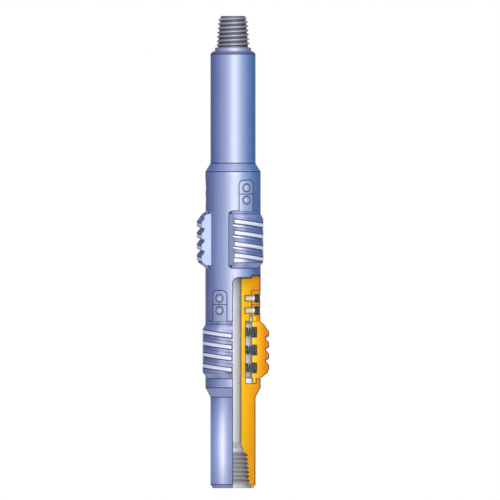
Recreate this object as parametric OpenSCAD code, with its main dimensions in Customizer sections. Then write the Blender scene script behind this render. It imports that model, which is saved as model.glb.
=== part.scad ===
// Casing scraper: a one-piece drill-string body with two levels of three sprung scraping blades.
// The tool stands on its box end. Z runs up the tool's axis, X to the right and Y to the back.

/* [Body] */
// Show the tool with a quarter of its lower half cut away down to the axis
cutaway = true; // [true, false]
// Diameter of the thick middle length that carries the blades
body_d = 130; // [122:0.5:148]
// Diameter of the necks above and below it
neck_d = 106; // [98:1:112]
// Diameter of the flow bore
bore_d = 35; // [28:1:40]
// Length of the lower neck
lower_neck_h = 214; // [150:1:400]
// Length of the cone from the lower neck to the thick length
lower_cone_h = 22; // [10:1:40]
// Length of it below the lower pockets
lower_margin = 21.5; // [18:0.5:60]
// Length of it above the upper slots
upper_margin = 20; // [8:1:60]
// Length of the cone from the thick length to the upper neck
upper_cone_h = 20; // [10:1:40]
// Length of the upper neck, with its bevel
upper_neck_h = 263; // [120:1:400]
// Height of the bevel at the top of the upper neck
neck_bevel_h = 7; // [4:0.5:12]
// Height of the bevel round the box end
box_bevel_h = 8.5; // [5:0.5:12]

/* [Connections] */
// Outer diameter of the two sealing shoulders
shoulder_d = 95; // [92:0.5:97]
// Crest diameter of the pin's thread at its thick end
pin_d = 80.5; // [76:0.5:82]
// Length of the pin above its collar
pin_h = 74; // [64:1:94]
// Height of the bevel at the pin's tip
pin_bevel_h = 5; // [3:0.5:7]
// Diameter of the plain collar below the pin's thread
collar_d = 85; // [84:0.5:88]
// Height of that collar
collar_h = 9; // [6:0.5:14]
// Taper of both threads, on the diameter, per unit of length
taper = 0.1667; // [0.1:0.01:0.2]
// Pitch of both threads
thread_pitch = 10; // [9:0.5:12]
// Depth of both threads
thread_depth = 5; // [3:0.25:5]
// Width of a thread's flat crest, and of its flat root
crest_w = 1.6; // [1:0.1:2]
// Height of the first crest above the collar
first_crest = 7.5; // [6:0.5:10]
// Gap round a pin of the same size in the box
box_gap = 0.5; // [0.3:0.1:1]
// Room past the end of such a pin
tip_room = 2; // [1:0.5:4]
// Diameter of the plain relief above the box's thread
relief_d = 49; // [42:1:54]
// Height of that relief
relief_h = 9; // [4:0.5:14]
// Height of the cone from the relief to the bore
relief_cone_h = 14.5; // [8:0.5:24]

/* [Blades] */
// Height from the lower pockets to the upper ones
level_step = 259.5; // [245:0.5:400]
// Width of a blade
blade_w = 80; // [70:1:80]
// Length of a blade without its tongues
blade_h = 134; // [130:1:136]
// Diameter over the blades when they stand right out
scraping_d = 170; // [162:1:180]
// Depth of a blade's inner face below the body's surface
blade_depth = 20; // [19:0.5:22]
// Corner radius of a blade's outline
blade_corner = 8; // [4:0.5:12]
// Bevel along both sides of the teeth
side_bevel = 1.5; // [0.5:0.1:3]
// How far a blade can be pushed in
travel = 6.5; // [4:0.5:8]
// Gap between a blade and the body
blade_gap = 0.3; // [0.2:0.05:0.5]
// Width of both tongues of a blade
tongue_w = 36; // [24:1:37]
// Depth of a tongue's inner face below the body's surface
tongue_depth = 18.5; // [17:0.5:20]
// Thickness of both tongues
tongue_t = 7; // [5:0.5:8]
// Length of the upper tongue
upper_tongue_h = 12.5; // [8:0.5:14]
// Length of the lower tongue
lower_tongue_h = 11; // [6:0.5:12]
// Depth of a blade's pocket below the body's surface
pocket_depth = 35; // [31:0.5:36]

/* [Teeth] */
// Number of teeth on a blade
teeth = 4; // [2:1:4]
// Distance from one tooth to the next
tooth_pitch = 26.3; // [24:0.1:27]
// Depth of the grooves between the teeth
groove_depth = 7.5; // [5:0.5:9]
// Height of a groove's floor
groove_floor_h = 5.8; // [3:0.2:7]
// Height of the ramp from a groove out to the tooth below it
groove_ramp_h = 9.5; // [6:0.5:12]
// Slant of the teeth in degrees, falling to the right
tooth_slant = 7.5; // [0:0.5:10]
// Distance from the blade's top to the lower edge of its first tooth
first_tooth = 34.5; // [32:0.5:37]
// How far the surface drops below the last tooth
foot_drop = 3; // [1:0.5:5]
// Height of the bevel at the blade's foot
foot_bevel_h = 16; // [12:0.5:18]
// Height of the bevel at the blade's top
top_bevel_h = 6.5; // [4:0.5:9]
// How far that bevel rises from the body
top_bevel_rise = 7.5; // [5:0.5:10]
// Height of the ramp above the bevel
top_ramp_h = 13.5; // [10:0.5:16]

/* [Springs] */
// Number of springs behind each blade
springs_per_blade = 3; // [1:1:3]
// Distance between the springs
spring_step = 42; // [36:1:44]
// Outer diameter of a spring
spring_d = 22; // [16:0.5:24]
// Thickness of its wire
wire_d = 3; // [2:0.25:3.5]
// Number of coils
coils = 5; // [4:1:5]
// Gap round a spring in its blind hole
spring_gap = 1; // [0.5:0.1:2]
// Depth of the blind hole in the blade
spring_hole_depth = 10.8; // [8:0.2:14]

/* [Keepers] */
// Width of a retainer and of a spacer
keeper_w = 38; // [38:1:44]
// Length of a retainer
retainer_h = 39.5; // [36:0.5:42]
// Length of a spacer
spacer_h = 32.5; // [28:0.5:36]
// Corner radius of a spacer's round end
spacer_corner = 11; // [6:0.5:16]
// Depth of their slot below the body's surface
keeper_depth = 21; // [20:0.5:24]
// How far their faces lie below the body's surface
keeper_recess = 0.6; // [0.2:0.1:1.5]
// Gap round them in their slot
keeper_gap = 0.15; // [0.1:0.05:0.4]
// Height of a retainer's screw above its lower end
retainer_screw_z = 25.5; // [25:0.5:27]
// Height of a spacer's screw above its lower end
spacer_screw_z = 14.5; // [12:0.5:17]

/* [Screws] */
// Diameter of a screw's shank
screw_d = 12; // [8:1:14]
// Length of its shank
screw_h = 21.5; // [16:0.5:22]
// Diameter of its head
head_d = 18; // [16:0.5:20]
// Height of its head
head_h = 12; // [8:0.5:13]
// Width across the flats of its hexagon socket
socket_af = 10; // [5:0.5:10]
// Depth of that socket
socket_depth = 6; // [3:0.5:7]
// Bevel at the end of the shank and round the head
screw_bevel = 1; // [0.5:0.1:1.5]
// Gap round its shank
screw_gap = 0.1; // [0.05:0.05:0.3]
// Gap round its head
head_gap = 0.3; // [0.2:0.1:0.6]
// How deep a head lies below the body's surface
head_below = 2; // [1:0.5:3]

/* [Hidden] */
$fn = 96;

far = 200; // longer than any radius, so that a cut runs right out
lap = 1; // how far one shape runs into the next where they join
edge = 1.5; // bevel of the collar's and the bore's sharp edges
seat_gap = 0.1; // play at each end of a spring
drill_room = 1; // depth of a tapped hole past its screw
wire_sides = 6;
coil_steps = 10; // straight lengths of wire in one coil
arc_steps = 8; // straight lengths in one arc of the cut's edge

steel_blue = [0.5, 0.57, 0.82];
bright_steel = [0.78, 0.8, 0.86];
dark_steel = [0.25, 0.28, 0.33];
cut_orange = [0.96, 0.66, 0.1];

body_r = body_d / 2;
neck_r = neck_d / 2;
bore_r = bore_d / 2;
collar_r = collar_d / 2;
shoulder_r = shoulder_d / 2;
crest_r = scraping_d / 2;
groove_r = crest_r - groove_depth;
pin_crest_r = pin_d / 2;
pin_root_r = pin_crest_r - thread_depth;
box_crest_r = pin_root_r + box_gap;

pocket_h = blade_h + 2 * blade_gap;
slot_h = retainer_h + spacer_h + 2 * keeper_gap;
middle_h = lower_margin + level_step + pocket_h + slot_h + upper_margin;

middle_z = lower_neck_h + lower_cone_h;
lower_pocket_z = middle_z + lower_margin;
upper_pocket_z = lower_pocket_z + level_step;
upper_cone_z = middle_z + middle_h;
upper_neck_z = upper_cone_z + upper_cone_h;
shoulder_z = upper_neck_z + upper_neck_h;
pin_z = shoulder_z + collar_h;
top_z = pin_z + pin_h;
box_mouth_h = collar_h + lap;
box_thread_z = collar_h + pin_h + tip_room;
relief_z = box_thread_z + relief_h;
turns = floor((pin_h - first_crest - pin_bevel_h) / thread_pitch) + 1;

// Distances from the axis, all measured in from the body's surface
pocket_floor = body_r - pocket_depth;
blade_in = body_r - blade_depth;
tongue_in = body_r - tongue_depth;
keeper_floor = body_r - keeper_depth;
tongue_out = tongue_in + tongue_t;
lip_in = tongue_out + blade_gap;
shelf = tongue_in - travel - blade_gap;
hole_end = blade_in + spring_hole_depth;
land_h = tooth_pitch - groove_floor_h - groove_ramp_h;
screw_seat = body_r - head_below - head_h;

// The cut's wavy upper edge: a round left corner, a lower shelf, a wave up to a higher shelf, and a fall to the right
cut_margin = 6; // from the cut to the upper pockets' undercuts
cut_top_z = upper_pocket_z - lower_tongue_h - cut_margin;
cut_step_h = 5.5;
cut_step_z = cut_top_z - cut_step_h;
cut_corner = 14;
cut_step_x = 35;
cut_rise_x = 49;
cut_fall_x = 57;
cut_fall_r = 12;
wave_turn = 2 * atan((cut_top_z - cut_step_z) / (cut_rise_x - cut_step_x));
wave_r = (cut_rise_x - cut_step_x) / (2 * sin(wave_turn));

// Each station has a name, the direction that its blade faces and the height of its pocket.
STATIONS = [
    ["upper_left", 180, upper_pocket_z],
    ["upper_front", 300, upper_pocket_z],
    ["upper_rear", 60, upper_pocket_z],
    ["lower_right", 0, lower_pocket_z],
    ["lower_front", 240, lower_pocket_z],
    ["lower_rear", 120, lower_pocket_z]
];

// Radius of a tapered thread at a height above its thick end
function tapered(r, height) = r - height * taper / 2;

// One turn of the pin's thread, by the height of its crest above the collar
function pin_turn(height) = [
    [tapered(pin_root_r, height), pin_z + height - (thread_pitch - crest_w) / 2],
    [tapered(pin_crest_r, height), pin_z + height - crest_w / 2],
    [tapered(pin_crest_r, height), pin_z + height + crest_w / 2],
    [tapered(pin_root_r, height), pin_z + height + (thread_pitch - crest_w) / 2]
];

// One groove of the box's thread, by its height above the end face
function box_turn(z) = [
    [tapered(box_crest_r, z - collar_h), z + (thread_pitch - crest_w) / 2],
    [tapered(box_crest_r + thread_depth, z - collar_h), z + crest_w / 2],
    [tapered(box_crest_r + thread_depth, z - collar_h), z - crest_w / 2],
    [tapered(box_crest_r, z - collar_h), z - (thread_pitch - crest_w) / 2]
];

// The body's outline on one side of the axis, up the outside and down the bore.
// A cone leads from the room for a pin's collar, at the box's mouth, to its first groove.
function body_outline() = concat(
    [
        [shoulder_r, 0],
        [neck_r, box_bevel_h],
        [neck_r, lower_neck_h],
        [body_r, middle_z],
        [body_r, upper_cone_z],
        [neck_r, upper_neck_z],
        [neck_r, shoulder_z - neck_bevel_h],
        [shoulder_r, shoulder_z],
        [collar_r, shoulder_z],
        [collar_r, pin_z - edge],
        [collar_r - edge, pin_z],
        [pin_root_r, pin_z]
    ],
    [for (i = [0 : turns - 1]) each pin_turn(first_crest + i * thread_pitch)],
    [
        [tapered(pin_root_r, pin_h) - edge, top_z],
        [bore_r + edge, top_z],
        [bore_r, top_z - edge],
        [bore_r, relief_z + relief_cone_h],
        [relief_d / 2, relief_z],
        [relief_d / 2, box_thread_z],
        [tapered(box_crest_r, box_thread_z - collar_h), box_thread_z]
    ],
    [for (i = [0 : turns - 1]) each box_turn(box_thread_z - first_crest - i * thread_pitch)],
    [
        [collar_r + box_gap, box_mouth_h],
        [collar_r + box_gap, 0]
    ]
);

// What is cut off a square corner at the origin to round it
module corner(side, up, r) {
    size = r + lap;
    difference() {
        translate([side * (lap - r) / 2, up * (lap - r) / 2]) square(size, center = true);
        translate([-side * r, -up * r]) circle(r);
    }
}

// A rectangle that stands on the X axis, with its upper corners rounded
module tombstone(w, h, r) {
    difference() {
        translate([-w / 2, 0]) square([w, h]);
        for (side = [-1, 1]) translate([side * w / 2, h]) corner(side, 1, r);
    }
}

// The same with all its corners rounded
module rounded(w, h, r) {
    difference() {
        tombstone(w, h, r);
        for (side = [-1, 1]) translate([side * w / 2, 0]) corner(side, -1, r);
    }
}

// Stands a flat outline up, facing outwards, and makes it solid from one distance to another
module facing(from, to) {
    translate([from, 0, 0]) rotate([90, 0, 90]) linear_extrude(to - from) children();
}

// A round bar that points outwards
module bar(from, to, r) {
    translate([from, 0, 0]) rotate([0, 90, 0]) cylinder(h = to - from, r = r);
}

module at_station(s) {
    translate([0, 0, s[2]]) rotate(s[1]) children();
}

module at_springs() {
    for (i = [1 : springs_per_blade]) at_spring(i) children();
}

// Springs are counted from the top.
module at_spring(i) {
    translate([0, 0, pocket_h / 2 + ((springs_per_blade + 1) / 2 - i) * spring_step]) children();
}

function arc(x, z, r, from, to) = [
    for (i = [0 : arc_steps])
        let (angle = from + (to - from) * i / arc_steps)
        [x + r * cos(angle), z + r * sin(angle)]
];

// The quarter in front of the section plane, to the right of the axis and below the wavy edge
module cut_quarter() {
    edge_points = concat(
        arc(cut_corner, cut_step_z - cut_corner, cut_corner, 180, 90),
        arc(cut_step_x, cut_step_z + wave_r, wave_r, 270, 270 + wave_turn),
        arc(cut_rise_x, cut_top_z - wave_r, wave_r, 90 + wave_turn, 90),
        arc(cut_fall_x, cut_top_z - cut_fall_r, cut_fall_r, 90, 45)
    );
    right_z = edge_points[len(edge_points) - 1][1];
    color(cut_orange) rotate([90, 0, 0]) linear_extrude(far)
        polygon(concat([[far, right_z], [far, -lap], [0, -lap]], edge_points));
}

module sectioned() {
    difference() {
        children();
        if (cutaway) cut_quarter();
    }
}

module body() {
    color(steel_blue) difference() {
        rotate_extrude() polygon(body_outline());
        for (s = STATIONS) at_station(s) station_room();
    }
}

// The room that one blade, its springs, its keepers and their screws need in the body
module station_room() {
    tongue_room = tongue_w + 2 * blade_gap;
    facing(pocket_floor, far) rounded(blade_w + 2 * blade_gap, pocket_h, blade_corner + blade_gap);
    translate([pocket_floor, -tongue_room / 2, -lower_tongue_h])
        cube([lip_in - pocket_floor, tongue_room, lower_tongue_h + lap]);
    translate([shelf, -tongue_room / 2, pocket_h - lap])
        cube([keeper_floor + lap - shelf, tongue_room, upper_tongue_h + lap]);
    translate([0, 0, pocket_h - lap]) facing(keeper_floor, far)
        tombstone(keeper_w + 2 * keeper_gap, slot_h + lap, spacer_corner + keeper_gap);
    for (z = [retainer_screw_z, retainer_h + keeper_gap + spacer_screw_z])
        translate([0, 0, pocket_h + z])
            bar(screw_seat - screw_h - drill_room, keeper_floor + lap, screw_d / 2 + screw_gap);
}

// A scraping blade with its teeth, its two tongues and the blind holes for its springs
module blade() {
    color(bright_steel) difference() {
        union() {
            translate([0, 0, blade_gap]) toothed_face();
            translate([tongue_in, -tongue_w / 2, blade_gap - lower_tongue_h])
                cube([tongue_t, tongue_w, lower_tongue_h + blade_h + upper_tongue_h]);
        }
        at_springs() bar(blade_in - lap, hole_end, spring_d / 2 + spring_gap);
    }
}

// The blade without tongues: a bar with round corners, turned to the scraping diameter and grooved
module toothed_face() {
    difference() {
        intersection() {
            facing(blade_in, crest_r + lap) rounded(blade_w, blade_h, blade_corner);
            linear_extrude(blade_h) bevelled_plan();
            rotate_extrude() polygon([
                [0, 0],
                [body_r, 0],
                [crest_r, foot_bevel_h],
                [crest_r, blade_h - top_bevel_h - top_ramp_h],
                [body_r + top_bevel_rise, blade_h - top_bevel_h],
                [body_r, blade_h],
                [0, blade_h]
            ]);
        }
        for (i = [0 : teeth - 1]) groove(i);
        foot_relief();
    }
}

// The blade from above, wide of its sides, with the bevels that take off the edges of its teeth
module bevelled_plan() {
    half = blade_w / 2;
    side_x = sqrt(crest_r * crest_r - half * half) - side_bevel;
    face_x = sqrt(crest_r * crest_r - (half - side_bevel) * (half - side_bevel));
    slope = (face_x - side_x) / side_bevel;
    front_x = crest_r + lap;
    front_y = half - (front_x - side_x) / slope;
    wide_x = side_x - slope * lap;
    wide_y = half + lap;
    polygon([
        [0, -wide_y],
        [wide_x, -wide_y],
        [front_x, -front_y],
        [front_x, front_y],
        [wide_x, wide_y],
        [0, wide_y]
    ]);
}

// Height of a tooth's lower edge above the blade's foot
function tooth_z(i) = blade_h - first_tooth - i * tooth_pitch;

// The slanting groove above a tooth: a ramp rises from its floor to the tooth's land
module groove(i) {
    over = 2 * lap;
    floor_top = groove_ramp_h + (i == 0 ? 3 : 1) * groove_floor_h;
    slanted(tooth_z(i) + land_h) polygon([
        [crest_r + over, -over * groove_ramp_h / groove_depth],
        [groove_r, groove_ramp_h],
        [groove_r, floor_top],
        [crest_r + over, floor_top]
    ]);
}

// Below the last tooth the surface drops a little before the bevel at the foot.
module foot_relief() {
    intersection() {
        rotate_extrude() translate([crest_r - foot_drop, -lap]) square([foot_drop + 2 * lap, blade_h]);
        translate([0, 0, tooth_z(teeth - 1)]) rotate([-tooth_slant, 0, 0])
            translate([0, -far, -far]) cube([far, 2 * far, far]);
    }
}

// A ring round the axis at a height, tilted so that it falls to the right
module slanted(z) {
    translate([0, 0, z]) rotate([-tooth_slant, 0, 0]) rotate_extrude() children();
}

module spring() {
    wire_r = wire_d / 2;
    coil_r = (spring_d - wire_d) / 2;
    start = pocket_floor + seat_gap + wire_r;
    rise = hole_end - seat_gap - wire_r - start;
    rings = coils * coil_steps;
    points = [
        for (i = [0 : rings])
            for (j = [0 : wire_sides - 1])
                let (turn = 360 * i / coil_steps, round_wire = 360 * (j + 0.5) / wire_sides)
                let (r = coil_r + wire_r * cos(round_wire))
                [start + rise * i / rings + wire_r * sin(round_wire), r * cos(turn), r * sin(turn)]
    ];
    sides = [
        for (i = [0 : rings - 1])
            for (j = [0 : wire_sides - 1])
                let (next = (j + 1) % wire_sides)
                [
                    i * wire_sides + j,
                    i * wire_sides + next,
                    (i + 1) * wire_sides + next,
                    (i + 1) * wire_sides + j
                ]
    ];
    first_end = [for (j = [0 : wire_sides - 1]) wire_sides - 1 - j];
    last_end = [for (j = [0 : wire_sides - 1]) rings * wire_sides + j];
    color(dark_steel) polyhedron(points, concat(sides, [first_end, last_end]));
}

// A socket screw whose head rests on its seat
module screw() {
    color(bright_steel) translate([screw_seat, 0, 0]) rotate([0, 90, 0]) difference() {
        rotate_extrude() polygon([
            [0, -screw_h],
            [screw_d / 2 - screw_bevel, -screw_h],
            [screw_d / 2, screw_bevel - screw_h],
            [screw_d / 2, 0],
            [head_d / 2, 0],
            [head_d / 2, head_h - screw_bevel],
            [head_d / 2 - screw_bevel, head_h],
            [0, head_h]
        ]);
        translate([0, 0, head_h - socket_depth])
            cylinder(h = socket_depth + lap, r = socket_af / sqrt(3), $fn = 6);
    }
}

module screw_hole() {
    bar(keeper_floor - lap, body_r + lap, screw_d / 2 + screw_gap);
    bar(screw_seat, body_r + lap, head_d / 2 + head_gap);
}

// A keeper is a block with its face turned to just below the body's surface.
module keeper(h) {
    intersection() {
        facing(keeper_floor, body_r) children();
        cylinder(h = h, r = body_r - keeper_recess);
    }
}

// Holds the blade's upper tongue under a lip
module retainer() {
    color(steel_blue) difference() {
        keeper(retainer_h) translate([-keeper_w / 2, 0]) square([keeper_w, retainer_h]);
        translate([keeper_floor - lap, -keeper_w / 2 - lap, -lap])
            cube([lip_in - keeper_floor + lap, keeper_w + 2 * lap, upper_tongue_h + lap]);
        translate([0, 0, retainer_screw_z]) screw_hole();
    }
}

// Fills the slot above the retainer
module spacer() {
    color(steel_blue) difference() {
        keeper(spacer_h) tombstone(keeper_w, spacer_h, spacer_corner);
        translate([0, 0, spacer_screw_z]) screw_hole();
    }
}

retainer_z = pocket_h;
spacer_z = retainer_z + retainer_h + keeper_gap;

sectioned() body();
for (s = STATIONS) {
    sectioned() at_station(s) blade();
    sectioned() at_station(s) translate([0, 0, retainer_z]) retainer();
    sectioned() at_station(s) translate([0, 0, spacer_z]) spacer();
    at_station(s) translate([0, 0, retainer_z + retainer_screw_z]) screw();
    at_station(s) translate([0, 0, spacer_z + spacer_screw_z]) screw();
    for (i = [1 : springs_per_blade])
        at_station(s) at_spring(i) spring();
}
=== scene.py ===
import math

import bmesh
import bpy
from mathutils import Matrix, Vector


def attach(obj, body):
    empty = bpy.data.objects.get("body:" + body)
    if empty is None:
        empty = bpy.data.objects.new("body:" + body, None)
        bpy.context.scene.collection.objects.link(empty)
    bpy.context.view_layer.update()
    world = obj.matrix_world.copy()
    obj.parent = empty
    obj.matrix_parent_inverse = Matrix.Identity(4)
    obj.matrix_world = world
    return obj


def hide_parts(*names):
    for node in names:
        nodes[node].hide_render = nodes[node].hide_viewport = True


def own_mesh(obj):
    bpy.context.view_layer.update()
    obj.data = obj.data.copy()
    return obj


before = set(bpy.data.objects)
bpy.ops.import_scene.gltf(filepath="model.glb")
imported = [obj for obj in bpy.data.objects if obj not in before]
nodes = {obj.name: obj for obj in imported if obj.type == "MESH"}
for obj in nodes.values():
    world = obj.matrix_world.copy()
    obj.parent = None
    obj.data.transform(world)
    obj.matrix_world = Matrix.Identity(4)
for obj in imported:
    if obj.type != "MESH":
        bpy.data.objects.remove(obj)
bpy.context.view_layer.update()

# Sizes of the part, in millimetres, with a station's heights above its pocket's foot
BORE_R = 17.5
BODY_R = 65.0
LOWER_POCKET_Z = 257.5
UPPER_POCKET_Z = 517.0
SHOULDER_Z = 1026.9
PIN_Z = 1035.9
TOP_Z = 1109.9

BLADE_W = 80.0
BLADE_H = 134.0
BLADE_GAP = 0.3
BLADE_CORNER = 8.0
LOWER_TONGUE_H = 11.0
UPPER_TONGUE_H = 12.5
POCKET_H = BLADE_H + 2 * BLADE_GAP
TOOTH_PITCH = 26.3
TOOTH_SLANT = math.radians(7.5)
FIRST_TOOTH = 34.5
FOOT_DROP = 3.0

KEEPER_W = 38.0
KEEPER_GAP = 0.15
RETAINER_H = 39.5
SPACER_H = 32.5
SPACER_CORNER = 11.0
SLOT_H = RETAINER_H + SPACER_H + 2 * KEEPER_GAP

SCREW_R = 6.0
SCREW_GAP = 0.1
HEAD_R = 9.0
HEAD_GAP = 0.3
RETAINER_SCREW_Z = POCKET_H + 25.5
SPACER_SCREW_Z = POCKET_H + RETAINER_H + KEEPER_GAP + 14.5
SCREWS_MIDDLE_Z = (RETAINER_SCREW_Z + SPACER_SCREW_Z) / 2
HALF_SCREW_STEP = (SPACER_SCREW_Z - RETAINER_SCREW_Z) / 2

# Distances from the axis of what the section shows of a station
POCKET_FLOOR = 30.0
SHELF = 39.7
KEEPER_FLOOR = 44.0
SCREW_SEAT = 51.0
LIP_IN = 53.8
SCREW_HOLE_END = 28.5
SPRING_HOLE_END = 55.8
PAST_BLADE = 80.0

SPRING_LOW = 30.1
SPRING_HIGH = 55.7
SPRING_STEP = 42.0
WIRE_R = 1.5
COIL_R = 9.5

THREAD_PITCH = 10.0
THREAD_DEPTH = 5.0
THREAD_TAPER = 0.08335
THREAD_CREST_W = 1.6
PIN_ROOT_R = 35.25
PIN_TIP_R = 27.58
FIRST_CREST = 7.5

# The cut's upper edge: a lower shelf with a round corner, and a higher shelf
CUT_TOP_Z = 500.0
CUT_STEP_H = 5.5
CUT_CORNER = 14.0

# Bands along the tool, each as its lower and its upper end, the rubbed ones with their softness too
RUBBED_EDGES = (
    (212.5, 215.5, 2.0),
    (234.5, 237.5, 2.5),
    (742.5, 745.5, 2.5),
    (762.5, 765.0, 2.0),
    (1018.5, 1021.0, 2.0),
)
# Dark lines painted as shade at the ends of the cones and the bevels, each as its lower and its upper end
SHADE_LINES = (
    (7.9, 9.1),
    (213.1, 214.8),
    (235.2, 236.9),
    (743.1, 744.8),
    (763.1, 764.8),
    (1019.2, 1020.8),
)
SHADE_LINE_SOFT = 0.7
BETWEEN_LEVELS_Z = 490.0
LOWER_NECK_TOP_Z = 214.0
LOWER_CONE_H = 22.0

# The lower and upper ends of a blade's three bevels in section, as outwards and up from its pocket's foot
BLADE_BEVELS = ((65.0, 0.3), (85.0, 16.3), (84.9, 114.3), (72.4, 127.8), (72.5, 127.8), (65.0, 134.3))
LAND_EDGE_R = 84.9

# Each station's direction in degrees and the height of its pocket's foot
STATIONS = {
    "upper_left": (180, UPPER_POCKET_Z),
    "upper_front": (300, UPPER_POCKET_Z),
    "upper_rear": (60, UPPER_POCKET_Z),
    "lower_right": (0, LOWER_POCKET_Z),
    "lower_front": (240, LOWER_POCKET_Z),
    "lower_rear": (120, LOWER_POCKET_Z),
}


# Materials

class Value:
    """A shader socket that takes part in sums."""

    def __init__(self, finish, socket_highlight):
        self.finish = finish
        self.socket_highlight = socket_highlight

    def __add__(self, other):
        return self.finish.maths("ADD", self, other)

    __radd__ = __add__

    def __sub__(self, other):
        return self.finish.maths("SUBTRACT", self, other)

    def __rsub__(self, other):
        return self.finish.maths("SUBTRACT", other, self)

    def __mul__(self, other):
        return self.finish.maths("MULTIPLY", self, other)

    __rmul__ = __mul__

    def __truediv__(self, other):
        return self.finish.maths("DIVIDE", self, other)

    def __lt__(self, other):
        return self.finish.maths("LESS_THAN", self, other)

    def __gt__(self, other):
        return self.finish.maths("GREATER_THAN", self, other)

    def __abs__(self):
        return self.finish.maths("ABSOLUTE", self)


class Finish:
    """A material and the nodes that make it."""

    def __init__(self, name):
        self.material = bpy.data.materials.new(name)
        self.material.use_nodes = True
        self.tree = self.material.node_tree
        self.tree.nodes.clear()

    def node(self, kind, settings=(), sockets=(), output=0):
        made = self.tree.nodes.new(kind)
        for name, value in dict(settings).items():
            setattr(made, name, value)
        for name, value in dict(sockets).items():
            if isinstance(value, Value):
                self.tree.links.new(value.socket_highlight, made.inputs[name])
            else:
                made.inputs[name].default_value = value
        return Value(self, made.outputs[output])

    def maths(self, operation, *values):
        return self.node("ShaderNodeMath", {"operation": operation}, enumerate(values))

    def mix(self, factor, first, second, blend="MIX"):
        settings = {"data_type": "RGBA", "blend_type": blend, "clamp_factor": True}
        return self.node("ShaderNodeMix", settings, {0: factor, 6: colour(first), 7: colour(second)}, 2)

    def place(self):
        """The place on the object, as a vector in millimetres."""
        where = self.node("ShaderNodeTexCoord", output=3)
        return self.node("ShaderNodeVectorMath", {"operation": "SCALE"}, {0: where, "Scale": 1000.0})

    def split(self, vector):
        made = self.tree.nodes.new("ShaderNodeSeparateXYZ")
        self.tree.links.new(vector.socket_highlight, made.inputs[0])
        return [Value(self, output) for output in made.outputs]

    def noise(self, vector, scale, detail=2.0, roughness=0.5, output=0):
        sockets = {"Vector": vector, "Scale": scale, "Detail": detail, "Roughness": roughness}
        return self.node("ShaderNodeTexNoise", (), sockets, output)

    def stretched(self, vector, scale):
        return self.node("ShaderNodeVectorMath", {"operation": "MULTIPLY"}, {0: vector, 1: scale})

    def smooth(self, value, low, high):
        """0 below low, 1 above high, and a soft step between; from 1 to 0 where low is above high."""
        start, end = (0.0, 1.0) if low < high else (1.0, 0.0)
        low, high = sorted((low, high))
        settings = {"interpolation_type": "SMOOTHSTEP", "clamp": True}
        return self.node("ShaderNodeMapRange", settings, enumerate((value, low, high, start, end)))

    def band(self, value, low, high, soft):
        return self.smooth(value, low - soft, low) * self.smooth(value, high + soft, high)

    def largest(self, *values):
        result = values[0]
        for value in values[1:]:
            result = self.maths("MAXIMUM", result, value)
        return result

    def ramp(self, value, stops):
        made = self.tree.nodes.new("ShaderNodeValToRGB")
        elements = made.color_ramp.elements
        while len(elements) < len(stops):
            elements.new(0.5)
        for element, (position, shade) in zip(elements, stops):
            element.position = position
            element.color = colour(shade)
        self.tree.links.new(value.socket_highlight, made.inputs[0])
        return Value(self, made.outputs[0])

    def bump(self, height, distance):
        return self.node("ShaderNodeBump", (), {"Strength": 1.0, "Distance": distance, "Height": height})

    def shader(self, base, roughness, metallic, normal=None, fixed=()):
        sockets = {"Base Color": base, "Roughness": roughness, "Metallic": metallic}
        sockets.update(fixed)
        if normal is not None:
            sockets["Normal"] = normal
        return self.node("ShaderNodeBsdfPrincipled", (), sockets)

    def over(self, mask, under, upper):
        return self.node("ShaderNodeMixShader", (), {0: mask, 1: under, 2: upper})

    def finished(self, shader):
        output = self.tree.nodes.new("ShaderNodeOutputMaterial")
        self.tree.links.new(shader.socket_highlight, output.inputs[0])
        return self.material


def colour(value):
    """An sRGB triple of 0 to 255 as a linear colour, or a socket as it is."""
    if isinstance(value, Value):
        return value
    shares = [v / 255 for v in value]
    return [s / 12.92 if s <= 0.04045 else ((s + 0.055) / 1.055) ** 2.4 for s in shares] + [1.0]


VIOLET = (76, 99, 166)
CYAN_BLUE = (41, 102, 170)
NAVY = (18, 24, 60)
PALE_STEEL = (214, 216, 226)
ENAMEL = {"IOR": 3.2, "Specular Tint": (1.0, 0.91, 0.72, 1.0)}
CUT_PAINT = {"Specular IOR Level": 0.12}


def at_stations(finish, x, y, z):
    """The place in the nearest blade's own frame: outwards, across and up from its pocket's foot."""
    upper = z > BETWEEN_LEVELS_Z
    turn = finish.maths("ARCTAN2", y, x) / math.radians(120) - upper * 0.5 + 0.5
    across = (finish.maths("FRACT", turn + 3.0) - 0.5) * math.radians(120)
    radius = finish.maths("SQRT", x * x + y * y)
    return (
        radius,
        radius * finish.maths("COSINE", across),
        radius * finish.maths("SINE", across),
        z - LOWER_POCKET_Z - upper * (UPPER_POCKET_Z - LOWER_POCKET_Z),
    )


def outline_distance(finish, across, up, half_width, low, high, corner):
    """Distance from a rounded rectangle's edge, below 0 inside it."""
    side = abs(across) - (half_width - corner)
    level = abs(up - (low + high) / 2) - ((high - low) / 2 - corner)
    outer_side = finish.maths("MAXIMUM", side, 0.0)
    outer_level = finish.maths("MAXIMUM", level, 0.0)
    outer = finish.maths("SQRT", outer_side * outer_side + outer_level * outer_level)
    inner = finish.maths("MINIMUM", finish.maths("MAXIMUM", side, level), 0.0)
    return outer + inner - corner


def cell_distance(finish, x, up, inner, outer, low, high):
    """Distance from a room that the section shows, from the edges of its rectangle, below 0 inside it."""
    side = abs(x - (inner + outer) / 2) - (outer - inner) / 2
    level = abs(up - (low + high) / 2) - (high - low) / 2
    return finish.maths("MAXIMUM", side, level)


def screw_rooms(finish, x, up, inner, outer, half_width):
    """Distance from the rooms of both screws, which lie as far above as below the level between them."""
    off = abs(up - SCREWS_MIDDLE_Z)
    low = HALF_SCREW_STEP - half_width
    high = HALF_SCREW_STEP + half_width
    return cell_distance(finish, x, off, inner, outer, low, high)


def nearest(finish, *distances):
    result = distances[0]
    for distance in distances[1:]:
        result = finish.maths("MINIMUM", result, distance)
    return result


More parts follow.
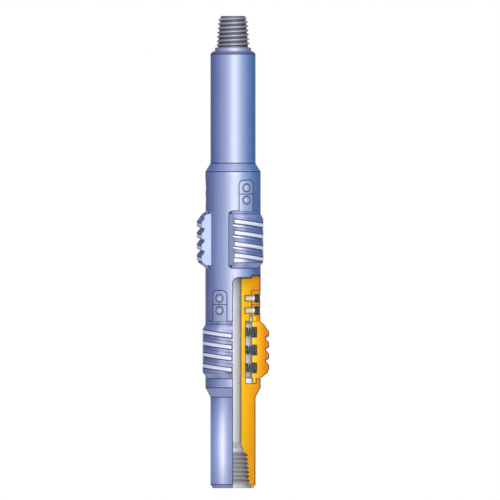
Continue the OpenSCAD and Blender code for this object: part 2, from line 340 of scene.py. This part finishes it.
def blue_paint(finish, where, x):
    """Blue that drifts from violet on the left to cyan on the right, a painted tint of the light from
    either side, with soft mottling and fine turning marks.
    """
    # Painted light and shade: violet towards the left side, cyan and less red towards the right
    side_light_tint = finish.smooth(x, -70.0, 70.0)
    base = finish.mix(side_light_tint, VIOLET, CYAN_BLUE)
    mottle = finish.noise(where, 0.018, 4.0, 0.6)
    base = finish.mix((mottle - 0.5) * 0.7, base, (100, 116, 184))
    base = finish.mix((0.5 - mottle) * 0.6, base, (40, 60, 130))
    marks = finish.noise(finish.stretched(where, (0.02, 0.02, 1.6)), 1.0, 3.0, 0.6)
    return base, mottle, marks


def lined(finish, enamel, mask, where):
    """Enamel with dull dark paint where the mask says: painted shade along edges and seams, and dark lines.
    """
    speck = finish.noise(where, 0.6, 2.0, 0.6)
    base = finish.mix(speck, NAVY, (48, 54, 92))
    dark_lines_and_shade = finish.shader(base, 0.8 + speck * 0.1, 0.0, None, CUT_PAINT)
    return finish.over(mask * (0.8 + speck * 0.2), enamel, dark_lines_and_shade)


def cut_faces(finish, x, y, z):
    """Where the quarter was cut away."""
    normal = finish.split(finish.node("ShaderNodeTexCoord", output=1))
    on_right = (abs(y) < 0.3) * (x > -0.3)
    on_axis = (abs(x) < 0.3) * (y < 0.3)
    below = z < CUT_TOP_Z + 0.2
    wavy = (z > 470.0) * (normal[2] < -0.2) * (x > 0.5) * (y < -0.1) * below
    return finish.largest(on_right * below, on_axis * below, wavy)


def cut_colour(finish, where, outwards, low, high):
    share = (outwards - low) / (high - low)
    cloud = finish.noise(where, 0.03, 3.0, 0.5)
    share = share + (cloud - 0.5) * 0.35
    stops = [(0.0, (234, 200, 44)), (0.25, (236, 175, 6)), (0.6, (222, 150, 2)), (1.0, (200, 120, 10))]
    return finish.ramp(share, stops)


def cut_shader(finish, z, where, outwards, low, high, dark):
    """The painted cut faces, with the dark edges that the last value gives."""
    base = cut_colour(finish, where, outwards, low, high)
    # Painted shade: the cut faces darker towards the bottom
    base = finish.mix(finish.smooth(z, 400.0, 60.0) * 0.4, base, (186, 128, 8))
    base = finish.mix(dark * 0.9, base, (92, 62, 30))
    rough = 0.6 + finish.noise(where, 0.2, 3.0, 0.5) * 0.15
    return finish.shader(base, rough, 0.0, None, CUT_PAINT)


def body_finish():
    finish = Finish("blue_body")
    where = finish.place()
    x, y, z = finish.split(where)
    radius, _, across, up = at_stations(finish, x, y, z)
    base, mottle, marks = blue_paint(finish, where, x)
    speck = finish.noise(where, 0.35, 3.0, 0.7)
    rough = 0.54 + (mottle - 0.5) * 0.12 + (marks - 0.5) * 0.1

    # Rubbed edges at the cones and the upper neck's bevel
    edges = finish.largest(*[finish.band(z, *ends) for ends in RUBBED_EDGES])
    rub = edges * finish.smooth(speck, 0.56, 0.68)
    base = finish.mix(rub * 0.7, base, PALE_STEEL)

    # Painted shade: dark lines at the ends of the cones and the bevels, and the upper neck's top chamfer
    # darker
    edge_shade_lines = finish.largest(*[finish.band(z, *ends, SHADE_LINE_SOFT) for ends in SHADE_LINES])
    edge_shade_lines = edge_shade_lines * (radius > 45.0)
    chamfer_shade = finish.band(z, 1020.8, SHOULDER_Z - 0.1, 0.3) * (radius > 47.0)

    # Painted shade along the edges of the pockets and slots, where the gaps are
    half_pocket = BLADE_W / 2 + BLADE_GAP
    half_slot = KEEPER_W / 2 + KEEPER_GAP
    slot_top = POCKET_H + SLOT_H
    pocket = outline_distance(finish, across, up, half_pocket, 0.0, POCKET_H, BLADE_CORNER + BLADE_GAP)
    slot = outline_distance(finish, across, up, half_slot, 120.0, slot_top, SPACER_CORNER + KEEPER_GAP)
    seam = finish.maths("MINIMUM", pocket, slot)
    painted_shade = finish.smooth(seam, 1.9, 0.7) * finish.smooth(radius, 64.0, 64.8) * (radius < 66.0)
    painted_shade = painted_shade * (z > 240.0) * (z < 740.0)

    # The burnt edge of the paint beside the cut, along its round corner and both its shelves
    cut_edge = nearest(
        finish,
        outline_distance(finish, x - 100.0, z, 100.0, -200.0, CUT_TOP_Z - CUT_STEP_H, CUT_CORNER),
        outline_distance(finish, x - 142.0, z, 100.0, -200.0, CUT_TOP_Z, 7.0),
    )
    burnt = finish.smooth(cut_edge, 2.6, 1.5) * (y < 0.0) * (z > 8.5)

    # Painted shade on the lower neck beside the cut: its paint darker and rougher towards the cut
    dull_and_shaded = finish.smooth(x, -24.0, -5.0) * (z < 213.0) * (y < 0.0) * (x < 1.0)
    base = finish.mix(dull_and_shaded * 0.5, base, (30, 70, 130))
    rough = rough + dull_and_shaded * 0.34

    # Bare metal inside the pockets, the bore and the box
    level = finish.largest(finish.band(z, 244.0, 466.0, 0.5), finish.band(z, 503.0, 726.0, 0.5))
    inside = finish.largest(
        (radius < 64.7) * level,
        radius < 18.2,
        (radius < 44.0) * (z < 109.5),
        z < 0.2,
        (z > SHOULDER_Z - 0.1) * (radius < 47.6) * (z < SHOULDER_Z + 0.1),
    )
    streak = finish.noise(finish.stretched(where, (0.05, 0.05, 0.012)), 1.0, 3.0, 0.6)
    bare = finish.mix(streak, (218, 214, 220), (192, 200, 198))

    # The pin: bare, with painted shade darker at the roots of its thread
    pin = z > PIN_Z - 0.2
    root_shade = finish.smooth(radius + (z - PIN_Z) * THREAD_TAPER, 39.6, 36.0)
    thread = finish.mix(root_shade * 0.75, finish.mix(mottle, (172, 172, 184), (146, 148, 166)), (64, 64, 84))
    bare = finish.mix(pin, bare, thread)
    collar = finish.band(z, SHOULDER_Z - 0.1, PIN_Z - 0.2, 0.2)
    base = finish.mix(collar * 0.6, base, (116, 116, 160))

    # The box's thread: darker, with painted shade deepest in its grooves
    groove = finish.smooth(radius + (z - 9.0) * THREAD_TAPER, 37.0, 40.4)
    box = finish.band(z, 13.0, 84.5, 0.5) * (radius < 44.0)
    bare = finish.mix(box * (0.25 + groove * 0.45), bare, (124, 116, 124))

    fine = finish.noise(where, 0.9, 2.0, 0.5)
    normal = finish.bump(marks * 0.35 + speck * 0.25 + fine * 0.2, 0.0001)
    enamel = finish.shader(base, rough, 0.05 + mottle * 0.1, normal, ENAMEL)
    enamel = lined(finish, enamel, finish.largest(edge_shade_lines, chamfer_shade * 0.6, painted_shade, burnt), where)
    steel = finish.shader(bare, 0.5 + (streak - 0.5) * 0.2, 0.12 + pin * 0.5, normal)
    painted = finish.over(finish.largest(inside, pin), enamel, steel)

    # Dark edges on the cut faces: the bore's, the outside's and those of the rooms behind the blade
    cone = finish.maths("MAXIMUM", finish.maths("MINIMUM", (z - LOWER_NECK_TOP_Z) / LOWER_CONE_H, 1.0), 0.0)
    past_floor = KEEPER_FLOOR + 1.0
    screw_hole = SCREW_R + SCREW_GAP
    rooms = nearest(
        finish,
        cell_distance(finish, x, up, POCKET_FLOOR, PAST_BLADE, 0.0, POCKET_H),
        cell_distance(finish, x, up, POCKET_FLOOR, LIP_IN, -LOWER_TONGUE_H, 1.0),
        cell_distance(finish, x, up, SHELF, past_floor, POCKET_H - 1.0, POCKET_H + UPPER_TONGUE_H),
        cell_distance(finish, x, up, KEEPER_FLOOR, PAST_BLADE, POCKET_H - 1.0, slot_top),
        screw_rooms(finish, x, up, SCREW_HOLE_END, past_floor, screw_hole),
    )
    deburred = finish.largest(
        finish.smooth(radius, 20.6, 19.6) * (z > 108.0),
        finish.smooth(radius - cone * 12.0, 49.8, 50.8),
        finish.smooth(cut_edge, -3.0, -1.8) * (z > 400.0),
        finish.smooth(rooms, 2.2, 1.3) * (x > 20.0),
    )
    cut = cut_shader(finish, z, where, radius, BORE_R, BODY_R, deburred)
    return finish.finished(finish.over(cut_faces(finish, x, y, z), painted, cut))


def keeper_finish():
    finish = Finish("blue_keeper")
    where = finish.place()
    x, y, z = finish.split(where)
    radius, _, across, up = at_stations(finish, x, y, z)
    base, mottle, marks = blue_paint(finish, where, x)
    # Painted highlight: the keepers' blue paler than the body's
    base = finish.mix(0.6, base, (124, 142, 190))
    speck = finish.noise(where, 0.35, 3.0, 0.7)
    rough = 0.5 + (mottle - 0.5) * 0.12 + (marks - 0.5) * 0.1

    # Painted shade along the outline, the joint of the two keepers and round the screws
    top = POCKET_H + SLOT_H - KEEPER_GAP
    outline = outline_distance(finish, across, up, KEEPER_W / 2, 120.0, top, SPACER_CORNER)
    joint = abs(up - (POCKET_H + 39.6))
    rises = [up - level for level in (RETAINER_SCREW_Z, SPACER_SCREW_Z)]
    screws = nearest(finish, *[finish.maths("SQRT", across * across + rise * rise) for rise in rises])
    face = finish.smooth(radius, 63.4, 64.2)
    painted_shade = finish.largest(
        finish.smooth(outline, -1.6, -0.5),
        finish.smooth(joint, 1.5, 0.6),
        finish.smooth(screws, 11.4, 10.2),
    ) * face
    normal = finish.bump(marks * 0.35 + speck * 0.25, 0.0001)
    enamel = lined(finish, finish.shader(base, rough, 0.05 + mottle * 0.1, normal, ENAMEL), painted_shade, where)
    machined = finish.mix(mottle, (206, 208, 214), (182, 186, 198))
    steel = finish.shader(machined, 0.45 + speck * 0.1, 0.2, normal)
    painted = finish.over(radius < 63.6, enamel, steel)
    rooms = nearest(
        finish,
        screw_rooms(finish, x, up, 40.0, SCREW_SEAT + 1.0, SCREW_R + SCREW_GAP),
        screw_rooms(finish, x, up, SCREW_SEAT, 70.0, HEAD_R + HEAD_GAP),
    )
    deburred = finish.largest(
        finish.smooth(radius, 61.8, 62.8),
        finish.smooth(joint, 1.0, 0.5),
        finish.smooth(rooms, 1.3, 0.7),
        finish.smooth(radius, 45.4, 44.9),
    )
    cut = cut_shader(finish, z, where, radius, BORE_R, BODY_R, deburred)
    return finish.finished(finish.over(cut_faces(finish, x, y, z), painted, cut))


def depth_below(outwards, up, start, end):
    """Depth below the line between two points of an outline that runs upwards."""
    run = end[0] - start[0]
    rise = end[1] - start[1]
    length = math.hypot(run, rise)
    return (up - start[1]) * (run / length) - (outwards - start[0]) * (rise / length)


def blade_edge(finish, outwards, up, slanted, step):
    """Depth of a place in a blade's section below its toothed outline."""
    far = 100.0
    last = slanted < -2.9 * TOOTH_PITCH
    relieved = slanted < -3.0 * TOOTH_PITCH
    ends = zip(BLADE_BEVELS[::2], BLADE_BEVELS[1::2])
    bevels = [depth_below(outwards, up, start, end) for start, end in ends]
    groove = finish.maths("MINIMUM", finish.maths("MAXIMUM", (step - 11.0) * 0.79, 0.0), 7.5)
    groove = groove * (1.0 - relieved) + relieved * FOOT_DROP
    land = (LAND_EDGE_R - outwards - groove) * 0.85
    tooth = step + (outwards < 77.5 + last * 4.5) * far + relieved * far
    return nearest(finish, *bevels, land, tooth)


def blade_finish():
    finish = Finish("toothed_blade")
    where = finish.place()
    x, y, z = finish.split(where)
    radius, outwards, across, up = at_stations(finish, x, y, z)
    base, mottle, marks = blue_paint(finish, where, x)
    base = finish.mix(0.25, base, (102, 106, 168))
    speck = finish.noise(where, 0.35, 3.0, 0.7)
    rough = 0.5 + (mottle - 0.5) * 0.12

    # Heights above a tooth's lower edge, along the slant of the teeth
    above_tooth = up - BLADE_GAP - (BLADE_H - FIRST_TOOTH)
    slanted = above_tooth * math.cos(TOOTH_SLANT) + across * math.sin(TOOTH_SLANT)
    step = finish.maths("FRACT", slanted / TOOTH_PITCH + 8.0) * TOOTH_PITCH
    toothed = finish.band(slanted, -3.2 * TOOTH_PITCH, 0.9 * TOOTH_PITCH, 1.0)
    land = finish.smooth(radius, 84.3, 84.75)
    # Painted shade: dark lines above and below each tooth's land, and along the blade's outline
    below = finish.largest(
        finish.smooth(step, TOOTH_PITCH - 2.0, TOOTH_PITCH - 1.2) * (radius < 84.0),
        finish.band(step, -1.0, 1.3, 0.6) * land,
    ) * toothed
    above = finish.band(step, 9.4, 11.6, 0.6) * toothed * (radius > 83.0)
    scratch = finish.noise(finish.stretched(where, (1.5, 1.5, 0.05)), 1.0, 4.0, 0.7)

    # Dark lines painted as shade at the blade's shoulders
    shoulders = finish.largest(finish.band(up, 12.8, 13.7, 0.7), finish.band(up, 127.3, 128.3, 0.7))
    blade_top = BLADE_GAP + BLADE_H
    outline = outline_distance(finish, across, up, BLADE_W / 2, BLADE_GAP, blade_top, BLADE_CORNER)
    rim = finish.smooth(outline, -1.5, -0.6) * (radius > 66.0)
    painted_shade = finish.largest(below, above, rim, shoulders * (radius > 65.5))

    # Painted highlight, paler along one side of each blade's crest
    upper = z > BETWEEN_LEVELS_Z
    crest_highlight = finish.smooth(abs(across + upper * 38.0 - 16.0), 17.0, 3.0) * (radius > 66.0)
    base = finish.mix(crest_highlight * (0.55 + (mottle - 0.5)), base, (178, 184, 222))
    bright = land * toothed * finish.band(step, 1.9, 9.2, 0.5) * finish.smooth(outline, -0.4, -1.4)

    # Machined lands, flanks, tongues and inner face
    flank = finish.largest(abs(across) > 39.9, radius < 64.0)
    machined = finish.mix(mottle, (158, 172, 204), (136, 150, 188))
    worn = finish.mix(finish.smooth(scratch, 0.35, 0.65), (180, 184, 212), (208, 210, 228))
    steel_base = finish.mix(bright, machined, worn)
    normal = finish.bump(marks * 0.3 + speck * 0.2 + scratch * bright * 0.5, 0.0001)
    enamel = lined(finish, finish.shader(base, rough, 0.05 + mottle * 0.1, normal, ENAMEL), painted_shade, where)
    steel = finish.shader(steel_base, 0.4 + scratch * 0.16, 0.15, normal)
    painted = finish.over(finish.largest(bright, flank), enamel, steel)

    # Dark edges on the cut face: the outline's, the spring holes' and the tongues'
    half_step = SPRING_STEP / 2
    spring_room = finish.maths("PINGPONG", up - (POCKET_H / 2 - half_step), half_step) - 9.0
    spring_room = finish.maths("MAXIMUM", 0.0 - spring_room, x - SPRING_HOLE_END)
    ends = finish.largest(
        finish.smooth(up, 1.7, 1.1) * (x > 53.0),
        finish.smooth(x, 47.9, 47.3) * (abs(up - POCKET_H / 2) > 66.0),
        finish.smooth(up, 133.0, 133.6) * (up < 135.0),
        finish.smooth(up, -9.6, -10.2),
    )
    deburred = finish.largest(
        finish.smooth(blade_edge(finish, outwards, up, slanted, step), 2.6, 1.5) * (outwards > 60.0),
        finish.smooth(spring_room, 1.3, 0.7) * (abs(up - POCKET_H / 2) < 56.0),
        ends,
    )
    cut = cut_shader(finish, z, where, outwards, 50.0, 76.0, deburred)
    return finish.finished(finish.over(cut_faces(finish, x, y, z), painted, cut))


def screw_finish(level):
    """Bright steel, with a fine thread on the shank and a black knurled rim.

    level is the height of the screw's axis above its pocket's foot.
    """
    finish = Finish("steel_screw_" + str(int(level)))
    where = finish.place()
    x, y, z = finish.split(where)
    _, outwards, across, up = at_stations(finish, x, y, z)
    rise = up - level
    off = finish.maths("SQRT", across * across + rise * rise)
    turn = finish.maths("ARCTAN2", rise, across) / (2 * math.pi)
    speck = finish.noise(where, 0.5, 3.0, 0.6)
    head = outwards > 50.9
    rim = head * finish.smooth(off, 8.1, 8.5) * finish.smooth(outwards, 62.6, 61.8)
    top = head * (outwards > 62.6)
    socket_highlight = head * (off < 5.95)
    base = finish.mix(speck, (236, 233, 230), (214, 212, 214))
    # Painted highlight: the socket paler than the head's face
    base = finish.mix(socket_highlight * 0.6, base, (172, 178, 196))
    base = finish.mix(top, base, finish.mix(speck, (150, 166, 204), (128, 146, 190)))
    edge = finish.largest(top, head * (off > 8.0)) * finish.smooth(off, 7.4, 8.2)
    base = finish.mix(edge * 0.8, base, NAVY)
    base = finish.mix(rim * 0.94, base, (22, 22, 42))
    lathe = finish.maths("PINGPONG", off * 1.6, 1.0)
    thread = finish.maths("PINGPONG", outwards * 1.15 + turn * 2.0, 1.0) * (outwards < 48.0)
    knurl = finish.maths("PINGPONG", turn * 60.0 + 60.0, 1.0) * rim
    height = thread * 2.4 + knurl * 1.6 + lathe * top * 0.15
    rough = 0.36 + speck * 0.12 + rim * 0.12
    normal = finish.bump(height, 0.00025)
    return finish.finished(finish.shader(base, rough, 0.2 - socket_highlight * 0.1, normal))


def spring_finish():
    finish = Finish("spring_wire")
    where = finish.place()
    blued = finish.noise(where, 0.12, 3.0, 0.6)
    base = finish.mix(blued, (58, 64, 62), (92, 98, 102))
    drawn = finish.noise(where, 1.4, 3.0, 0.6)
    base = finish.mix(finish.smooth(drawn, 0.58, 0.72) * 0.5, base, (150, 152, 150))
    return finish.finished(finish.shader(base, 0.32 + drawn * 0.16, 0.4, finish.bump(drawn, 0.0001)))


def floor_finish():
    finish = Finish("pale_floor")
    where = finish.place()
    cloud = finish.noise(where, 0.002, 3.0, 0.5)
    fine = finish.noise(where, 0.05, 2.0, 0.5)
    base = finish.mix(cloud, (236, 237, 240), (228, 230, 234))
    return finish.finished(finish.shader(base, 0.6 + fine * 0.1, 0.0))


# Springs

def to_station(work, name):
    """Moves a bmesh from a blade's own frame, in millimetres, to its place on the tool."""
    angle, height = STATIONS[name]
    work.transform(Matrix.Translation((0, 0, height)))
    work.transform(Matrix.Rotation(math.radians(angle), 4, "Z"))
    work.transform(Matrix.Scale(0.001, 4))


def make_piece(name, work, material):
    mesh = bpy.data.meshes.new(name)
    work.to_mesh(mesh)
    work.free()
    mesh.materials.append(material)
    piece = bpy.data.objects.new(name, mesh)
    bpy.context.scene.collection.objects.link(piece)
    return piece


def coil_spring(low, high, wire, coil):
    """A compression spring with closed and ground ends, wound round the outward axis."""
    work = bmesh.new()
    sides = 12
    steps = 28
    sunk = wire * 0.45
    active = (high - low - 2 * (wire - sunk) - 4 * wire) / 3
    turned = Matrix.Translation((low + wire - sunk, 0, coil)) @ Matrix.Rotation(math.pi / 2, 4, "X")
    ring = bmesh.ops.create_circle(work, segments=sides, radius=wire, matrix=turned)
    geom = ring["verts"] + list(work.edges)
    for turns, pitch in ((1, 2 * wire), (3, active), (1, 2 * wire)):
        wound = bmesh.ops.spin(
            work,
            geom=geom,
            axis=(1, 0, 0),
            cent=(0, 0, 0),
            dvec=(pitch / steps, 0, 0),
            angle=2 * math.pi * turns,
            steps=steps * turns,
        )
        geom = wound["geom_last"]
    for side, place in ((-1, low), (1, high)):
        everything = list(work.verts) + list(work.edges) + list(work.faces)
        bmesh.ops.bisect_plane(
            work, geom=everything, plane_co=(place, 0, 0), plane_no=(side, 0, 0), clear_outer=True
        )
    bmesh.ops.holes_fill(work, edges=[e for e in work.edges if e.is_boundary], sides=0)
    bmesh.ops.recalc_face_normals(work, faces=list(work.faces))
    for face in work.faces:
        face.smooth = len(face.verts) == 4
    return work


def fit_springs(material):
    for station, (angle, height) in STATIONS.items():
        for number in (1, 2, 3):
            work = coil_spring(SPRING_LOW, SPRING_HIGH, WIRE_R, COIL_R)
            level = POCKET_H / 2 + (2 - number) * SPRING_STEP
            work.transform(Matrix.Translation((0, 0, level)))
            to_station(work, station)
            name = "spring_" + station + "_" + str(number)
            piece = make_piece("wound_" + name, work, material)
            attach(piece, "tool")
            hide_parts(name)
            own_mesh(piece)


# The pin's thread

def wind_thread():
    """A right-hand thread of one start on a taper, run out at its foot and bevelled at its tip."""
    work = bmesh.new()
    steps = 96
    turns = 10
    runout_start = 0.5
    runout_h = 6.0
    least_radius = 20.0
    middle = PIN_Z + FIRST_CREST - 1.75 * THREAD_PITCH
    crest = PIN_ROOT_R + THREAD_DEPTH
    half = THREAD_PITCH / 2
    flat = THREAD_CREST_W / 2
    profile = [
        (-half, PIN_ROOT_R),
        (flat - half, PIN_ROOT_R),
        (-flat, crest),
        (flat, crest),
        (half - flat, PIN_ROOT_R),
        (half, PIN_ROOT_R),
    ]
    verts = [work.verts.new((r, 0, middle + rise)) for rise, r in profile]
    edges = [work.edges.new(pair) for pair in zip(verts, verts[1:])]
    bmesh.ops.spin(
        work,
        geom=verts + edges,
        axis=(0, 0, 1),
        cent=(0, 0, 0),
        dvec=(0, 0, THREAD_PITCH / steps),
        angle=2 * math.pi * turns,
        steps=steps * turns,
    )
    bmesh.ops.remove_doubles(work, verts=list(work.verts), dist=0.05)
    for vert in work.verts:
        height = vert.co.z - PIN_Z
        radius = math.hypot(vert.co.x, vert.co.y)
        depth = radius - PIN_ROOT_R
        full = min(max((height - runout_start) / runout_h, 0.0), 1.0)
        wanted = min(PIN_ROOT_R - height * THREAD_TAPER + depth * full, PIN_TIP_R + TOP_Z - vert.co.z)
        wanted = max(wanted, least_radius)
        vert.co.x *= wanted / radius
        vert.co.y *= wanted / radius
    for side, level in ((-1, PIN_Z), (1, TOP_Z)):
        everything = list(work.verts) + list(work.edges) + list(work.faces)
        bmesh.ops.bisect_plane(
            work, geom=everything, plane_co=(0, 0, level), plane_no=(0, 0, side), clear_outer=True
        )
    work.transform(Matrix.Scale(0.001, 4))
    return work


def close_ring(work, level):
    """Triangles between the two open rims that lie at one height, one inside the other."""
    rim = [v for v in work.verts if v.is_boundary and abs(v.co.z * 1000 - level) < 0.01]
    rim.sort(key=lambda vert: math.atan2(vert.co.y, vert.co.x))
    radii = [vert.co.xy.length for vert in rim]
    middle = (min(radii) + max(radii)) / 2
    sides = [[v for v, r in zip(rim, radii) if r > middle], [v for v, r in zip(rim, radii) if r < middle]]
    turned = [[math.atan2(v.co.y, v.co.x) for v in side] for side in sides]
    for side, angles in zip(sides, turned):
        side.append(side[0])
        angles.append(angles[0] + 2 * math.pi)
    at = [0, 0]
    ends = [len(side) - 1 for side in sides]
    while at != ends:
        nearer = 0 if at[1] == ends[1] else 1
        if at[0] < ends[0] and at[1] < ends[1]:
            nearer = 0 if turned[0][at[0] + 1] < turned[1][at[1] + 1] else 1
        corners = [sides[0][at[0]], sides[1][at[1]], sides[nearer][at[nearer] + 1]]
        work.faces.new(corners)
        at[nearer] += 1


def threaded_body(material):
    """The body, with a wound thread instead of the rings on its pin."""
    source = nodes["body"].data
    work = bmesh.new()
    work.from_mesh(source)
    kept = work.loops.layers.float_vector.new("kept_normal")
    for polygon, face in zip(source.polygons, work.faces):
        for corner, loop in zip(polygon.loop_indices, face.loops):
            loop[kept] = source.corner_normals[corner].vector
    bmesh.ops.remove_doubles(work, verts=list(work.verts), dist=0.000001)
    rings = []
    for face in work.faces:
        centre = face.calc_center_median() * 1000
        outside = all(math.hypot(v.co.x, v.co.y) > 0.026 for v in face.verts)
        level = abs(face.normal.z) > 0.99
        if (outside and centre.z > PIN_Z - 0.01) or (level and centre.z > TOP_Z - 0.01):
            rings.append(face)
    bmesh.ops.delete(work, geom=rings, context="FACES")
    thread = wind_thread()
    wound = bpy.data.meshes.new("wound_thread")
    thread.to_mesh(wound)
    thread.free()
    work.from_mesh(wound)
    bpy.data.meshes.remove(wound)
    for level in (PIN_Z, TOP_Z):
        close_ring(work, level)
    fresh = [face for face in work.faces if all(loop[kept].length < 0.5 for loop in face.loops)]
    bmesh.ops.recalc_face_normals(work, faces=list(work.faces))
    for face in work.faces:
        face.smooth = True
    for edge in {e for face in fresh for e in face.edges}:
        edge.smooth = edge.is_manifold and edge.calc_face_angle() < math.radians(30)
    normals = [Vector(loop[kept]) for face in work.faces for loop in face.loops]
    work.loops.layers.float_vector.remove(kept)
    piece = make_piece("threaded_body", work, material)
    piece.data.normals_split_custom_set(normals)
    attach(piece, "tool")
    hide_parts("body")


def dress_nodes():
    body = body_finish()
    keeper = keeper_finish()
    blade = blade_finish()
    retainer_screw = screw_finish(RETAINER_SCREW_Z)
    spacer_screw = screw_finish(SPACER_SCREW_Z)
    spring = spring_finish()
    for name, node in nodes.items():
        if name == "body":
            finish = body
        elif name.startswith("blade"):
            finish = blade
        elif name.startswith("retainer_screw"):
            finish = retainer_screw
        elif name.startswith("spacer_screw"):
            finish = spacer_screw
        elif name.startswith("spring"):
            finish = spring
        else:
            finish = keeper
        node.data.materials.clear()
        node.data.materials.append(finish)
    fit_springs(spring)
    threaded_body(body)


# Floor, light and camera

def panel(name, width, height, place, towards, material):
    work = bmesh.new()
    bmesh.ops.create_grid(work, x_segments=1, y_segments=1, size=0.5)
    work.transform(Matrix.Diagonal((width, height, 1, 1)))
    aim = (Vector(towards) - Vector(place)).to_track_quat("Z", "Y").to_matrix().to_4x4()
    work.transform(Matrix.Translation(place) @ aim)
    piece = make_piece(name, work, material)
    return piece


def softbox(name, place, towards, width, height, power, gloss=True, spread=180.0):
    data = bpy.data.lights.new(name, "AREA")
    data.shape = "RECTANGLE"
    data.size = width
    data.size_y = height
    data.energy = power
    data.spread = math.radians(spread)
    lamp = bpy.data.objects.new(name, data)
    lamp.location = place
    lamp.rotation_euler = (Vector(towards) - Vector(place)).to_track_quat("-Z", "Y").to_euler()
    lamp.visible_camera = False
    lamp.visible_glossy = gloss
    bpy.context.scene.collection.objects.link(lamp)
    return lamp


def white_room():
    world = bpy.data.worlds.new("studio")
    world.use_nodes = True
    tree = world.node_tree
    tree.nodes.clear()
    paths = tree.nodes.new("ShaderNodeLightPath")
    seen = tree.nodes.new("ShaderNodeMath")
    seen.operation = "ADD"
    seen.use_clamp = True
    through = tree.nodes.new("ShaderNodeMath")
    through.operation = "ADD"
    through.use_clamp = True
    tree.links.new(paths.outputs["Is Camera Ray"], seen.inputs[0])
    tree.links.new(paths.outputs["Is Glossy Ray"], seen.inputs[1])
    tree.links.new(seen.outputs[0], through.inputs[0])
    tree.links.new(paths.outputs["Is Transmission Ray"], through.inputs[1])
    soft = tree.nodes.new("ShaderNodeBackground")
    soft.inputs["Color"].default_value = (0.93, 0.95, 1.0, 1.0)
    soft.inputs["Strength"].default_value = 0.22
    white = tree.nodes.new("ShaderNodeBackground")
    white.inputs["Color"].default_value = (1.0, 1.0, 1.0, 1.0)
    white.inputs["Strength"].default_value = 1.0
    blend = tree.nodes.new("ShaderNodeMixShader")
    tree.links.new(through.outputs[0], blend.inputs[0])
    tree.links.new(soft.outputs[0], blend.inputs[1])
    tree.links.new(white.outputs[0], blend.inputs[2])
    output = tree.nodes.new("ShaderNodeOutputWorld")
    tree.links.new(blend.outputs[0], output.inputs[0])
    bpy.context.scene.world = world


def dark_card():
    finish = Finish("dark_card")
    where = finish.place()
    weave = finish.noise(where, 0.05, 2.0, 0.5)
    base = finish.mix(weave, (34, 38, 54), (28, 32, 46))
    return finish.finished(finish.shader(base, 0.9, 0.0))


def set_stage():
    panel("floor", 3.4, 3.4, (0, 0, 0), (0, 0, 1), floor_finish())
    card = dark_card()
    for side in (-1, 1):
        place = (side * 0.8, 0.7, 1.0)
        made = panel("side_card_" + ("left", "right")[side > 0], 2.0, 3.1, place, (0, 0.7, 1.0), card)
        made.visible_camera = False
        made.visible_diffuse = False
        made.visible_shadow = False
    middle = (0, 0, 0.55)
    softbox("key", (0.4, -2.98, 0.8), middle, 1.0, 2.4, 82.0)
    softbox("high_key", (0.2, -1.5, 2.7), (0, 0, 0.6), 0.5, 0.6, 11.0)
    softbox("left_wash", (-1.6, 0.2, 0.9), middle, 0.6, 1.6, 4.8, gloss=False)
    softbox("right_wash", (1.6, 0.2, 0.9), middle, 0.6, 1.6, 1.2, gloss=False)
    softbox("back_wash", (0.0, 3.1, 1.0), middle, 0.8, 2.0, 50.0)
    softbox("ceiling", (0.0, 0.0, 3.4), (0, 0.001, 0), 3.4, 3.4, 56.0, gloss=False)
    softbox("low_fill", (-0.62, -0.5, 0.1), (0, 0, 0.1), 0.1, 0.15, 0.045, spread=14.0)
    white_room()


def set_camera():
    data = bpy.data.cameras.new("camera")
    data.type = "ORTHO"
    data.ortho_scale = 1.175
    camera = bpy.data.objects.new("camera", data)
    camera.location = (0.03995, -4.0, 0.5598)
    camera.rotation_euler = (math.pi / 2, 0, 0)
    bpy.context.scene.collection.objects.link(camera)
    bpy.context.scene.camera = camera


set_camera()
dress_nodes()
set_stage()
bpy.context.scene.view_settings.view_transform = "Standard"
